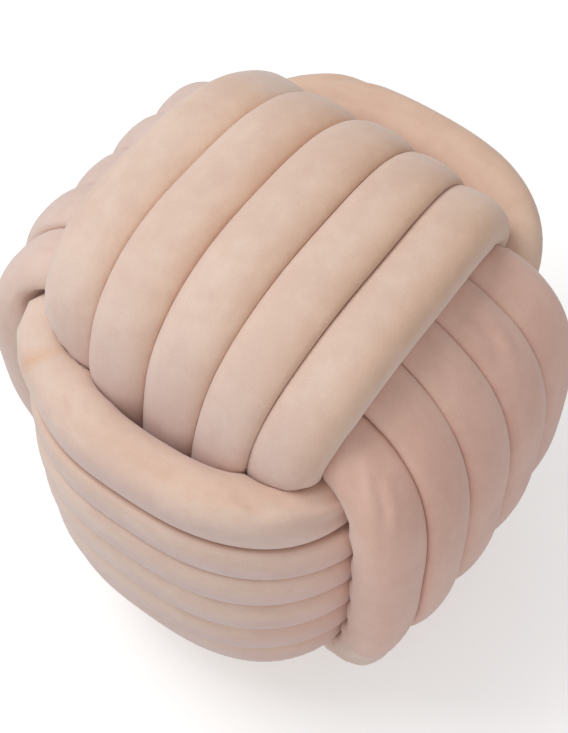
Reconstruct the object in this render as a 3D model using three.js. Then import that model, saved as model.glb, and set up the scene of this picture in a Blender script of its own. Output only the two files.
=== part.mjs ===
// Braided pouf: one long stuffed velvet tube wound into a ball knot.
//
// The tube makes three windings at right angles to each other. Each winding shows as a row of
// side-by-side strands on two opposite faces and dives below the next winding on two others:
//   top winding    5 turns, strands on top and underneath, running along Y
//   front winding  6 turns, strands on front and back, running along X
//   right winding  5 turns, strands on right and left, running along Z
// Between windings the tube crosses the middle, where its two ends are tucked as well.
// Units are millimetres, +Z is up, and the pouf rests on Z = 0.
import * as THREE from "three";

// ---- The tube ----
const STRAND_HALF_WIDTH = 30.5; // of an unpressed strand, along its face
const STRAND_CROWN = 23.3; // from the strand's middle line outward
const STRAND_BELLY = 27; // from the middle line to the round of its inward side
const STRAND_DEPTH = 80; // from the middle line inward, where there is room to bulge
const STRAND_FULLNESS = 2.4; // 2 is an ellipse, more is boxier
const KEEL_FROM = THREE.MathUtils.degToRad(28); // below its sides, where the bulge starts
const CORE_RADIUS = 50; // of the tube inside the knot, where it is round
const PRESSED_GAP = 1.2; // left between two lengths that press on each other
const PRESS_REACH = 168; // how near another length's middle line must be to press
const THINNEST_RADIUS = 8;
const PRESS_SHARPNESS = 20; // how crisply a pressed side meets the free crown
const BEND_LIMIT = 0.85; // share of the way to a bend's centre that its inside may fill

// ---- The knot ----
const FLOOR_BELOW_MIDDLE = 215; // the knot's middle stands this high, on a flat spot
const CROWN_POWER = 2.5; // how late the outermost strands drop away
const PINCH_POWER = 2.2; // how soon strands draw together as they leave a face
const SHIFT_ANGLE = THREE.MathUtils.degToRad(42); // half the stretch where a turn steps sideways
const LEAD_ANGLE = THREE.MathUtils.degToRad(58); // where a winding's first turn leaves the core
const TURN_STEP = THREE.MathUtils.degToRad(8);

// outReach and sideReach: middle line's distance from the knot's middle, on its own face and
// below the next winding. The last ones shrink by outDrop and sideDrop at the face's edge,
// faceHalf away. pinch: spacing below the next winding, as a share of that on the face.
// Strand rows: at = place across the face, lift = outward, girth = share of the usual size.
const WINDINGS = [
  {
    across: [1, 0, 0],
    out: [0, 0, 1],
    side: [0, -1, 0],
    outReach: 202,
    sideReach: 133,
    squareness: 2.85,
    outDrop: 0.155,
    sideDrop: 0.1,
    faceHalf: 125,
    pinch: 0.9,
    strands: [
      { at: -97, lift: 0, girth: 1 },
      { at: -50, lift: -2, girth: 1 },
      { at: 2, lift: 2, girth: 1 },
      { at: 51, lift: 0, girth: 1 },
      { at: 95, lift: 2, girth: 0.96 },
    ],
  },
  {
    across: [0, 0, -1],
    out: [0, -1, 0],
    side: [1, 0, 0],
    outReach: 177,
    sideReach: 138,
    squareness: 2.8,
    outDrop: 0.075,
    sideDrop: 0.06,
    faceHalf: 128,
    pinch: 0.82,
    strands: [
      { at: -98, lift: 7, girth: 0.78 },
      { at: -77, lift: 5, girth: 1 },
      { at: -38, lift: 5, girth: 1 },
      { at: 17, lift: 3, girth: 1 },
      { at: 62, lift: 3, girth: 1 },
      { at: 102, lift: 0, girth: 1 },
    ],
  },
  {
    across: [0, 1, 0],
    out: [1, 0, 0],
    side: [0, 0, 1],
    outReach: 174,
    sideReach: 164,
    squareness: 2.95,
    outDrop: 0.06,
    sideDrop: 0.1,
    faceHalf: 125,
    pinch: 0.84,
    strands: [
      { at: -104, lift: -5, girth: 0.95 },
      { at: -64, lift: 0, girth: 1 },
      { at: -13, lift: 0, girth: 1 },
      { at: 37, lift: 0, girth: 1 },
      { at: 85, lift: -4, girth: 1 },
    ],
  },
];

// Stretches moved by hand. winding: 0 top, 1 front, 2 right. angle: degrees round the turn from
// the middle of its face. reach: degrees over which the move fades.
const ALL_FIVE = [1, 2, 3, 4, 5];
const NUDGES = [
  { winding: 0, strands: [1], angle: 48, reach: 45, move: [-9, 0, 0] },
  { winding: 0, strands: [1], angle: 74, reach: 26, move: [-5, 0, 0] },
  { winding: 0, strands: [2], angle: 60, reach: 45, move: [-6, 0, 0] },
  { winding: 0, strands: [3], angle: 65, reach: 35, move: [-2, 0, 0] },
  { winding: 0, strands: [1, 2, 3, 4], angle: 75, reach: 25, move: [0, 2, 0] },
  { winding: 0, strands: [4], angle: -35, reach: 40, move: [-3, 0, 0] },
  { winding: 0, strands: [5], angle: -35, reach: 40, move: [-5, 0, 0] },
  { winding: 0, strands: [5], angle: 60, reach: 30, move: [3, -4, -4] },
  { winding: 0, strands: ALL_FIVE, angle: 132, reach: 30, move: [0, 6, 0] },
  { winding: 1, strands: [2, 3, 4, 5, 6], angle: -50, reach: 25, move: [5, 2, 0] },
  { winding: 1, strands: [1], angle: -32, reach: 20, move: [4, 0, -2] },
  { winding: 1, strands: [1], angle: -15, reach: 40, move: [0, 0, -7] },
  { winding: 1, strands: [1], angle: 140, reach: 30, move: [5, 3, 2] },
  { winding: 1, strands: [1], angle: 222, reach: 24, move: [0, 5, 15] },
  { winding: 2, strands: ALL_FIVE, angle: 180, reach: 60, move: [-6, 11, 0] },
  { winding: 2, strands: [1], angle: 150, reach: 40, move: [-3, -11, -2] },
  { winding: 2, strands: [1], angle: 168, reach: 22, move: [3, -6, 0] },
  { winding: 2, strands: [1], angle: 130, reach: 30, move: [-4, 0, 5] },
  { winding: 2, strands: [2], angle: 140, reach: 40, move: [-10, 0, 7] },
  { winding: 2, strands: [3, 4, 5], angle: 140, reach: 40, move: [-6, 0, 4] },
  { winding: 2, strands: [5], angle: 65, reach: 30, move: [0, 10, 0] },
];

// The tube's way through the middle: from its tucked start to the top winding, from each
// winding to the next, and from the right winding to its tucked end.
const CORE_RUNS = [
  [
    [-34, -48, 26],
    [-55, -25, -5],
    [-55, 15, -15],
    [-30, 45, -3],
    [8, 58, 15],
    [42, 48, 38],
    [54, 10, 68],
    [24, -8, 80],
    [-20, 3, 78],
    [-58, 20, 83],
    [-88, 55, 97],
    [-97, 95, 110],
    [-97, 112, 133],
  ],
  [
    [98, 112, -133],
    [98, 95, -110],
    [93, 68, -94],
    [80, 40, -68],
    [64, 6, -42],
    [48, -33, 0],
    [25, -60, 50],
    [-10, -75, 85],
    [-45, -80, 100],
    [-75, -82, 106],
    [-99, -80, 103],
    [-116, -96, 115],
    [-122, -115, 112],
    [-112, -134, 104],
  ],
  [
    [-110, 139, -108],
    [-121, 115, -105],
    [-105, 93, -103],
    [-75, 85, -98],
    [-45, 75, -80],
    [-20, 55, -55],
    [-5, 20, -38],
    [0, -20, -38],
    [10, -55, -58],
    [30, -80, -90],
    [60, -90, -118],
    [90, -94, -138],
    [120, -95, -141],
    [143, -95, -128],
  ],
  [
    [-143, 78, -128],
    [-120, 75, -140],
    [-90, 68, -138],
    [-60, 50, -120],
    [-30, 20, -105],
    [0, -8, -102],
    [-14, -32, -92],
    [-40, -47, -78],
    [-74, -57, -42],
  ],
];
// Where a core run is thinner than usual, with its run and point counted from 0.
const THINNED = [
  { run: 1, point: 11, girth: 0.82 },
  { run: 1, point: 12, girth: 0.72 },
  { run: 1, point: 13, girth: 0.74 },
];

// ---- Settling: lengths that lie too close push each other apart ----
const SETTLE_SPACING = 15; // between the points that are moved
const SETTLE_CLEARANCE = 40; // wanted between middle lines that cross or lie side by side
const SETTLE_REACH = 75; // pairs farther apart than this are never looked at
const SETTLE_ROUNDS = 60;
const SETTLE_RETURN = 0.05; // share of its displacement that a point gives back each round
const FACE_GIVE = 0.15; // how readily a strand on a face moves; one below a winding has 1
const SAME_LENGTH = 110; // points nearer than this along the tube don't press on each other
const SAME_BEND = 30; // nor do these limit each other as the two arms of a bend

// ---- Faceting ----
// Corners of a ring, from its side over its crown to its deeper inward half.
const CORNER_ANGLES = [0, 30, 60, 90, 120, 150, 180, 212, 241, 270, 299, 328].map(
  THREE.MathUtils.degToRad,
);
const SIDES = CORNER_ANGLES.length;
const LONGEST_STEP = 70;
const TURN_PER_STEP = THREE.MathUtils.degToRad(26);
const END_STEPS = [0, 6, 18, 36]; // rings of the rounded ends, from the tip
const EASE_ROUNDS = 16;
// Where a facet pair is tested, as shares of its corners: near start, near end, far end, far
// start. The fold between its two triangles joins the first corner to the third.
const FACET_SAMPLES = [
  [0.5, 0.5, 0, 0],
  [0, 0.75, 0.25, 0],
  [0, 0.5, 0.5, 0],
  [0, 0.25, 0.75, 0],
  [0.75, 0, 0.25, 0],
  [0.5, 0, 0.5, 0],
  [0.25, 0, 0.75, 0],
  [0.34, 0.33, 0.33, 0],
  [0.34, 0, 0.33, 0.33],
];

const VELVET = { color: 0xd9b9aa, roughness: 0.9, metalness: 0 };

const vec = (row) => new THREE.Vector3(...row);
const signedPower = (value, power) => Math.sign(value) * Math.abs(value) ** power;

// One point of a winding's turn. The angle is 0 in the middle of the face, 90 degrees in the
// middle of the side below the next winding.
function turnPoint(winding, at, lift, angle) {
  const edge = Math.abs(at / winding.faceHalf) ** CROWN_POWER;
  const outward = winding.outReach * (1 - winding.outDrop * edge) + lift * Math.cos(angle) ** 2;
  const sideways = winding.sideReach * (1 - winding.sideDrop * edge);
  const spread = 1 - (1 - winding.pinch) * (1 - Math.abs(Math.cos(angle)) ** PINCH_POWER);
  const power = 2 / winding.squareness;
  return vec(winding.across)
    .multiplyScalar(at * spread)
    .addScaledVector(vec(winding.out), outward * signedPower(Math.cos(angle), power))
    .addScaledVector(vec(winding.side), sideways * signedPower(Math.sin(angle), power));
}

// A turn's place across the face: it steps over to the next strand's place, half on the far
// end of this turn and half on the near end of the next one, on one hidden side.
function placeAcross(strands, turn, angle) {
  const here = strands[turn].at;
  const fromStart = (angle + Math.PI / 2) / SHIFT_ANGLE;
  const toEnd = (1.5 * Math.PI - angle) / SHIFT_ANGLE;
  if (turn > 0 && fromStart < 1) {
    const share = THREE.MathUtils.smoothstep(0.5 + fromStart / 2, 0, 1);
    return THREE.MathUtils.lerp(strands[turn - 1].at, here, share);
  }
  if (turn < strands.length - 1 && toEnd < 1) {
    const share = THREE.MathUtils.smoothstep(0.5 - toEnd / 2, 0, 1);
    return THREE.MathUtils.lerp(here, strands[turn + 1].at, share);
  }
  return here;
}

// The across direction, turned so that travel x across points outward.
function handedAcross(winding) {
  const travel = vec(winding.out).cross(vec(winding.side));
  return vec(winding.across).multiplyScalar(vec(winding.across).dot(travel));
}

// Stations along a winding. pressed: 1 for a strand's section, 0 for the round one inside.
// give: how readily the station moves when the knot settles. keel: how much of the inward bulge
// it has; the strands at a face's edges have none on the face. wound: 100 a winding, 1 a turn.
function windingStations(number) {
  const winding = WINDINGS[number];
  const stations = [];
  winding.strands.forEach((strand, turn) => {
    const first = turn === 0;
    const last = turn === winding.strands.length - 1;
    const start = -Math.PI / 2 + (first ? LEAD_ANGLE : 0);
    const end = 1.5 * Math.PI - (last ? LEAD_ANGLE : 0);
    const count = Math.round((end - start) / TURN_STEP);
    const stop = last ? count : count - 1;
    for (let step = 0; step <= stop; step += 1) {
      const angle = start + ((end - start) * step) / count;
      const at = placeAcross(winding.strands, turn, angle);
      stations.push({
        point: turnPoint(winding, at, strand.lift, angle),
        across: handedAcross(winding),
        give: FACE_GIVE + (1 - FACE_GIVE) * Math.sin(angle) ** 2,
        pressed: 1,
        girth: strand.girth,
        keel: first || last ? Math.sin(angle) ** 2 : 1,
        wound: 100 * number + turn + (angle + Math.PI / 2) / (2 * Math.PI),
      });
    }
  });
  return stations;
}

// Next to a winding the tube still has a strand's section.
function coreStations(number, before, after) {
  const run = CORE_RUNS[number];
  return run.map((row, index) => {
    const fromBefore = before ? index + 1 : Infinity;
    const toAfter = after ? run.length - index : Infinity;
    const thinned = THINNED.find((spot) => spot.run === number && spot.point === index);
    const start = handedAcross(before ?? after);
    const end = handedAcross(after ?? before);
    return {
      point: vec(row),
      across: start.lerp(end, (index + 1) / (run.length + 1)),
      give: 1,
      pressed: 1 - THREE.MathUtils.smoothstep(Math.min(fromBefore, toAfter), 3, 6),
      girth: thinned ? thinned.girth : 1,
      keel: 1,
      wound: -50,
    };
  });
}

function nudge(stations) {
  for (const { winding, strands, angle, reach, move } of NUDGES) {
    for (const strand of strands) {
      const centre = 100 * winding + strand - 1 + (angle + 90) / 360;
      for (const station of stations) {
        const away = ((station.wound - centre) * 360) / reach;
        station.point.addScaledVector(vec(move), Math.exp(-(away ** 2)));
      }
    }
  }
  return stations;
}

function wholeTube() {
  const [top, front, right] = WINDINGS;
  return nudge([
    ...coreStations(0, null, top),
    ...windingStations(0),
    ...coreStations(1, top, front),
    ...windingStations(1),
    ...coreStations(2, front, right),
    ...windingStations(2),
    ...coreStations(3, right, null),
  ]);
}

// A station between two others: numbers and vectors are both interpolated.
function blend(a, b, share) {
  const mixed = Object.entries(a).map(([name, value]) => {
    if (value instanceof THREE.Vector3) return [name, value.clone().lerp(b[name], share)];
    return [name, THREE.MathUtils.lerp(value, b[name], share)];
  });
  return Object.fromEntries(mixed);
}

function lengthsAlong(stations) {
  const lengths = [0];
  for (let i = 1; i < stations.length; i += 1) {
    lengths.push(lengths[i - 1] + stations[i].point.distanceTo(stations[i - 1].point));
  }
  return lengths;
}

// Stations at the given distances along the tube.
function stationsAt(stations, distances) {
  const lengths = lengthsAlong(stations);
  let i = 0;
  return distances.map((distance) => {
    while (i < lengths.length - 2 && lengths[i + 1] < distance) i += 1;
    const share = (distance - lengths[i]) / (lengths[i + 1] - lengths[i]);
    return blend(stations[i], stations[i + 1], THREE.MathUtils.clamp(share, 0, 1));
  });
}

// A smooth curve through the stations, with the same number of points between each two.
function smoothed(stations, pointsBetween) {
  const curve = new THREE.CatmullRomCurve3(stations.map((station) => station.point));
  const result = [];
  const spans = stations.length - 1;
  for (let step = 0; step <= spans * pointsBetween; step += 1) {
    const index = Math.min(Math.floor(step / pointsBetween), spans - 1);
    const station = blend(stations[index], stations[index + 1], step / pointsBetween - index);
    station.point = curve.getPoint(step / (spans * pointsBetween));
    result.push(station);
  }
  return result;
}

function evenly(stations, spacing) {
  const total = lengthsAlong(stations).at(-1);
  const count = Math.round(total / spacing);
  const distances = Array.from({ length: count + 1 }, (_, step) => (total * step) / count);
  return stationsAt(stations, distances);
}

function closePairs(stations) {
  const pairs = [];
  const reachSquared = SETTLE_REACH ** 2;
  const apart = Math.round(SAME_LENGTH / SETTLE_SPACING);
  for (let i = 0; i < stations.length; i += 1) {
    for (let j = i + apart + 1; j < stations.length; j += 1) {
      if (stations[i].point.distanceToSquared(stations[j].point) < reachSquared) {
        pairs.push([i, j]);
      }
    }
  }
  return pairs;
}

// Averages each displacement with its neighbours', and gives a little of it back.
function relaxOffsets(offsets) {
  let current = offsets.map((offset) => offset.clone().multiplyScalar(1 - SETTLE_RETURN));
  for (let pass = 0; pass < 2; pass += 1) {
    current = current.map((offset, i) => {
      if (i === 0 || i === current.length - 1) return offset.clone();
      const around = current[i - 1].clone().add(current[i + 1]);
      return around.multiplyScalar(0.25).addScaledVector(offset, 0.5);
    });
  }
  return current;
}

function settle(stations) {
  const pairs = closePairs(stations);
  const home = stations.map((station) => station.point.clone());
  const away = new THREE.Vector3();
  for (let round = 0; round < SETTLE_ROUNDS; round += 1) {
    const push = home.map(() => new THREE.Vector3());
    const contacts = home.map(() => 0);
    for (const [i, j] of pairs) {
      away.subVectors(stations[i].point, stations[j].point);
      const distance = away.length();
      if (distance < SETTLE_CLEARANCE) {
        const lack = (SETTLE_CLEARANCE - distance) / distance;
        const share = stations[i].give / (stations[i].give + stations[j].give);
        push[i].addScaledVector(away, lack * share);
        push[j].addScaledVector(away, -lack * (1 - share));
        contacts[i] += 1;
        contacts[j] += 1;
      }
    }
    const offsets = stations.map((station, i) =>
      station.point
        .clone()
        .sub(home[i])
        .addScaledVector(push[i], 1 / Math.max(contacts[i], 1)),
    );
    relaxOffsets(offsets).forEach((offset, i) => stations[i].point.addVectors(home[i], offset));
  }
  return stations;
}

// Direction of travel and the inverse bend radius, as a vector towards the bend's centre.
function bendAt(stations, i) {
  const before = stations[Math.max(i - 1, 0)].point;
  const here = stations[i].point;
  const after = stations[Math.min(i + 1, stations.length - 1)].point;
  const along = after.clone().sub(before).normalize();
  if (i === 0 || i === stations.length - 1) return { along, bend: new THREE.Vector3() };
  const arriving = here.clone().sub(before);
  const leaving = after.clone().sub(here);
  const span = (arriving.length() + leaving.length()) / 2;
  const bend = leaving.normalize().sub(arriving.normalize()).divideScalar(span);
  return { along, bend };
}

// Where the facet rings stand: close together in bends, farther apart on straight lengths.
function ringDistances(stations) {
  const lengths = lengthsAlong(stations);
  const total = lengths.at(-1);
  const effort = [0];
  for (let i = 1; i < stations.length; i += 1) {
    const need = bendAt(stations, i).bend.length() / TURN_PER_STEP;
    const step = lengths[i] - lengths[i - 1];
    effort.push(effort[i - 1] + step * Math.max(need, 1 / LONGEST_STEP));
  }
  const count = Math.ceil(effort.at(-1));
  const distances = [];
  let i = 0;
  for (let ring = 1; ring < count; ring += 1) {
    const wanted = (effort.at(-1) * ring) / count;
    while (effort[i + 1] < wanted) i += 1;
    const share = (wanted - effort[i]) / (effort[i + 1] - effort[i]);
    distances.push(THREE.MathUtils.lerp(lengths[i], lengths[i + 1], share));
  }
  const tip = END_STEPS.at(-1);
  const between = distances.filter((d) => d > 1.2 * tip && d < total - 1.2 * tip);
  return [...END_STEPS, ...between, ...END_STEPS.map((d) => total - d).reverse()];
}

// Half the distance to every other length in this direction, less half the gap. The other arm
// of a bend counts as well, a little more strictly.
function pressedRadius(direction, others) {
  let radius = Infinity;
  for (const { away, length, ofBend } of others) {
    const facing = away.dot(direction);
    if (facing > 0) {
      const half = ((length - PRESSED_GAP) * length) / (2 * facing);
      radius = Math.min(radius, ofBend ? half * BEND_LIMIT : half);
    }
  }
  return radius;
}

// The unpressed section: a superellipse with a deeper inward side, round inside the knot.
function freeRadius(station, angle) {
  const mix = (strand) => THREE.MathUtils.lerp(CORE_RADIUS, strand, station.pressed);
  const thinner = Math.sqrt(station.girth);
  const inward = Math.max(-Math.sin(angle), 0);
  const width = mix(STRAND_HALF_WIDTH * station.girth);
  const height = mix(inward > 0 ? STRAND_BELLY : STRAND_CROWN) * thinner;
  const fullness = THREE.MathUtils.lerp(2, STRAND_FULLNESS, station.pressed);
  const across = Math.abs(Math.cos(angle) / width) ** fullness;
  const outward = Math.abs(Math.sin(angle) / height) ** fullness;
  const deeper = Math.max(mix(STRAND_DEPTH) - mix(STRAND_BELLY), 0) * thinner * station.keel;
  const keel = THREE.MathUtils.smoothstep(Math.asin(inward), KEEL_FROM, Math.PI / 2);
  return (across + outward) ** (-1 / fullness) + deeper * keel;
}

// The middle-line points within reach that are farther away than apart along the tube.
function otherLengths(point, distance, line, reach, apart) {
  return line
    .map((other) => ({ ...other, along: Math.abs(other.distance - distance) }))
    .filter((other) => other.along > apart)
    .map(({ point: place, along }) => ({ point: place, away: place.clone().sub(point), along }))
    .map((other) => ({ ...other, length: other.away.length(), ofBend: other.along < SAME_LENGTH }))
    .filter((other) => other.length < reach);
}

// One ring of the tube's skin: free where nothing touches, flat against other lengths and
// against the floor, and never past the centre of a bend.
function skinRing(station, tipShare, line) {
  const lateral = station.across
    .clone()
    .addScaledVector(station.along, -station.across.dot(station.along))
    .normalize();
  const upward = new THREE.Vector3().crossVectors(station.along, lateral);
  const others = otherLengths(station.point, station.distance, line, PRESS_REACH, SAME_BEND);
  const corners = [];
  for (const angle of CORNER_ANGLES) {
    const direction = lateral
      .clone()
      .multiplyScalar(Math.cos(angle))
      .addScaledVector(upward, Math.sin(angle));
    const inward = direction.dot(station.bend);
    const limits = [
      freeRadius(station, angle),
      pressedRadius(direction, others),
      inward > 0 ? BEND_LIMIT / inward : Infinity,
    ];
    const sum = limits.reduce((total, limit) => total + limit ** -PRESS_SHARPNESS, 0);
    let radius = tipShare * sum ** (-1 / PRESS_SHARPNESS);
    if (direction.z < 0) {
      radius = Math.min(radius, (station.point.z + FLOOR_BELOW_MIDDLE) / -direction.z);
    }
    corners.push(station.point.clone().addScaledVector(direction, radius));
  }
  return { middle: station.point, distance: station.distance, corners };
}

function nearest(point, candidates) {
  let least = Infinity;
  for (const other of candidates) {
    least = Math.min(least, point.distanceToSquared(other.point));
  }
  return Math.sqrt(least);
}

// How far each corner of two rings must be drawn in, so that the facets between them stay
// nearer to their own middle line than to any other length's.
function facetExcess(here, after, line) {
  const middle = here.middle.clone().lerp(after.middle, 0.5);
  const distance = (here.distance + after.distance) / 2;
  const span = (after.distance - here.distance) / 2 + SETTLE_SPACING / 2;
  const own = line.filter((other) => Math.abs(other.distance - distance) < span);
  const others = otherLengths(middle, distance, line, PRESS_REACH + span, SAME_LENGTH);
  const excess = [new Array(SIDES).fill(0), new Array(SIDES).fill(0)];
  const point = new THREE.Vector3();
  for (let side = 0; side < SIDES; side += 1) {
    const next = (side + 1) % SIDES;
    const corners = [
      [0, side, here.corners[side]],
      [0, next, here.corners[next]],
      [1, next, after.corners[next]],
      [1, side, after.corners[side]],
    ];
    for (const shares of FACET_SAMPLES) {
      point.set(0, 0, 0);
      corners.forEach(([, , corner], c) => point.addScaledVector(corner, shares[c]));
      const lack = nearest(point, own) + PRESSED_GAP - nearest(point, others);
      if (lack > 0) {
        corners
          .filter((_, c) => shares[c] > 0)
          .forEach(([ring, at]) => {
            excess[ring][at] = Math.max(excess[ring][at], lack / 2);
          });
      }
    }
  }
  return excess;
}

// Flat facets can cut into a neighbour that their corners clear, so the corners give way.
function easeFacets(rings, line) {
  for (let round = 0; round < EASE_ROUNDS; round += 1) {
    const drawIn = rings.map(() => new Array(SIDES).fill(0));
    for (let r = 0; r < rings.length - 1; r += 1) {
      facetExcess(rings[r], rings[r + 1], line).forEach((row, offset) => {
        row.forEach((amount, side) => {
          drawIn[r + offset][side] = Math.max(drawIn[r + offset][side], amount);
        });
      });
    }
    rings.forEach((ring, r) => {
      ring.corners.forEach((corner, side) => {
        const radius = corner.distanceTo(ring.middle);
        const eased = Math.max(radius - drawIn[r][side], Math.min(radius, THINNEST_RADIUS));
        corner.sub(ring.middle).multiplyScalar(eased / radius).add(ring.middle);
      });
    });
  }
}

// The settled middle line, with each point's distance from the tube's start and its bend.
function middleLine() {
  const rough = evenly(smoothed(wholeTube(), 5), SETTLE_SPACING);
  const line = evenly(smoothed(settle(rough), 4), SETTLE_SPACING / 2);
  const lengths = lengthsAlong(line);
  line.forEach((station, i) => {
    Object.assign(station, bendAt(line, i), { distance: lengths[i] });
  });
  return line;
}

// Triangles between the rings, and a fan to each tip.
function faceted(startTip, rings, endTip) {
  const vertices = [startTip, endTip, ...rings.flatMap((ring) => ring.corners)];
  const firstOf = (ring) => 2 + ring * SIDES;
  const lastRing = firstOf(rings.length - 1);
  const faces = [];
  for (let side = 0; side < SIDES; side += 1) {
    const next = (side + 1) % SIDES;
    faces.push(0, firstOf(0) + next, firstOf(0) + side);
    faces.push(1, lastRing + side, lastRing + next);
    for (let ring = 0; ring < rings.length - 1; ring += 1) {
      const here = firstOf(ring);
      const after = firstOf(ring + 1);
      faces.push(here + side, here + next, after + next);
      faces.push(here + side, after + next, after + side);
    }
  }
  const geometry = new THREE.BufferGeometry();
  const positions = vertices.flatMap((vertex) => vertex.toArray());
  geometry.setAttribute("position", new THREE.Float32BufferAttribute(positions, 3));
  geometry.setIndex(faces);
  geometry.computeVertexNormals();
  return geometry;
}

function tubeGeometry() {
  const line = middleLine();
  const total = line.at(-1).distance;
  const stations = stationsAt(line, ringDistances(line));
  const rings = stations.slice(1, -1).map((station) => {
    const fromTip = Math.min(station.distance, total - station.distance) / END_STEPS.at(-1);
    const tipShare = Math.sqrt(1 - (1 - Math.min(fromTip, 1)) ** 2);
    return skinRing(station, tipShare, line);
  });
  easeFacets(rings, line);
  return faceted(line[0].point, rings, line.at(-1).point);
}

// The tube stands on the floor, with the middle of its outline over the origin.
function knottedTube() {
  const geometry = tubeGeometry();
  geometry.computeBoundingBox();
  const box = geometry.boundingBox;
  const middle = box.getCenter(new THREE.Vector3());
  const mesh = new THREE.Mesh(geometry, new THREE.MeshStandardMaterial(VELVET));
  mesh.name = "knotted_tube";
  mesh.position.set(-middle.x, -middle.y, -box.min.z);
  return mesh;
}

const pouf = new THREE.Group();
pouf.add(knottedTube());

export default pouf;
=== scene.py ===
"""Braided pouf: one long stuffed velvet tube wound into a ball knot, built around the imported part.

The tube makes three windings at right angles. Each winding shows as a row of strands on two
opposite faces and dives below the next winding on two others. The tube's skin is free where
nothing touches it, flat against its neighbours, and flat on the floor.
"""

import math

import bpy
import numpy as np
from mathutils import Matrix, Vector


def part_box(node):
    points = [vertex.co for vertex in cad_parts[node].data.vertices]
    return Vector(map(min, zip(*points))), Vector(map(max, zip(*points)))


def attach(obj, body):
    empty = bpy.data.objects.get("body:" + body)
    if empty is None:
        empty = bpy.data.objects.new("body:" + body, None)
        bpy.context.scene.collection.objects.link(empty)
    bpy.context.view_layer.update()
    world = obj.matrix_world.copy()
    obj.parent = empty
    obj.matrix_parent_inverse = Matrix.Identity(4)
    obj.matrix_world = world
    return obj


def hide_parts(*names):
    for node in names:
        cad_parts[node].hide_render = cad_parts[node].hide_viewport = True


bl_info = {
    "name": "Braided pouf",
    "version": (1, 0, 0),
    "blender": (4, 5, 0),
    "location": "3D View > Sidebar > Pouf",
    "description": "Makes a knotted velvet pouf with its floor, lights and camera",
    "category": "Object",
}

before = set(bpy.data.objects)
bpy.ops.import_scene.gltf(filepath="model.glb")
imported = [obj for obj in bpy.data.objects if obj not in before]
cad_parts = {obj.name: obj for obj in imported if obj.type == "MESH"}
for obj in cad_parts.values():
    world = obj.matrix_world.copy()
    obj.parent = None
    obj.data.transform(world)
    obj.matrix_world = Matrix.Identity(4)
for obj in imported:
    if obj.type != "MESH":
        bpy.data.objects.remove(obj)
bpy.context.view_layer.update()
NODE = "knotted_tube"
CAD_LOW, CAD_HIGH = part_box(NODE)

MM = 0.001

# ---- The knot, in millimetres from its middle ----
# out_reach and side_reach: the middle line's distance from the knot's middle, on the winding's
# own face and below the next winding. The last ones shrink by out_drop and side_drop at the
# face's edge, face_half away. pinch: spacing below the next winding, as a share of that on the
# face. Strands: (place across the face, lift outward, share of the usual width).
WINDINGS = (
    {
        "across": (1, 0, 0),
        "out": (0, 0, 1),
        "side": (0, -1, 0),
        "out_reach": 202,
        "side_reach": 133,
        "squareness": 2.85,
        "out_drop": 0.155,
        "side_drop": 0.1,
        "face_half": 125,
        "pinch": 0.9,
        "strands": ((-97, 0, 1), (-50, -2, 1), (2, 2, 1), (51, 0, 1), (95, 2, 0.96)),
    },
    {
        "across": (0, 0, -1),
        "out": (0, -1, 0),
        "side": (1, 0, 0),
        "out_reach": 177,
        "side_reach": 138,
        "squareness": 2.8,
        "out_drop": 0.075,
        "side_drop": 0.06,
        "face_half": 128,
        "pinch": 0.82,
        "strands": (
            (-98, 7, 0.78),
            (-77, 5, 1),
            (-38, 5, 1),
            (17, 3, 1),
            (62, 3, 1),
            (102, 0, 1),
        ),
    },
    {
        "across": (0, 1, 0),
        "out": (1, 0, 0),
        "side": (0, 0, 1),
        "out_reach": 174,
        "side_reach": 164,
        "squareness": 2.95,
        "out_drop": 0.06,
        "side_drop": 0.1,
        "face_half": 125,
        "pinch": 0.84,
        "strands": ((-104, -5, 0.95), (-64, 0, 1), (-13, 0, 1), (37, 0, 1), (85, -4, 1)),
    },
)

# Stretches moved one by one: winding (0 top, 1 front, 2 right), strands from 1, degrees round the
# turn from the middle of its face, how far the move reaches in degrees, and the move.
ALL_FIVE = (1, 2, 3, 4, 5)
NUDGES = (
    (0, (1,), 48, 45, (-9, 0, 0)),
    (0, (1,), 74, 26, (-5, 0, 0)),
    (0, (2,), 60, 45, (-6, 0, 0)),
    (0, (3,), 65, 35, (-2, 0, 0)),
    (0, (1, 2, 3, 4), 75, 25, (0, 2, 0)),
    (0, (4,), -35, 40, (-3, 0, 0)),
    (0, (5,), -35, 40, (-5, 0, 0)),
    (0, (5,), 60, 30, (3, -4, -4)),
    (0, ALL_FIVE, 132, 30, (0, 6, 0)),
    (1, (2, 3, 4, 5, 6), -50, 25, (5, 2, 0)),
    (1, (1,), -32, 20, (4, 0, -2)),
    (1, (1,), -15, 40, (0, 0, -7)),
    (1, (1,), 140, 30, (5, 3, 2)),
    (1, (1,), 222, 24, (0, 5, 15)),
    (2, ALL_FIVE, 180, 60, (-6, 11, 0)),
    (2, (1,), 150, 40, (-3, -11, -2)),
    (2, (1,), 168, 22, (3, -6, 0)),
    (2, (1,), 130, 30, (-4, 0, 5)),
    (2, (2,), 140, 40, (-10, 0, 7)),
    (2, (3, 4, 5), 140, 40, (-6, 0, 4)),
    (2, (5,), 65, 30, (0, 10, 0)),
)

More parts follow.
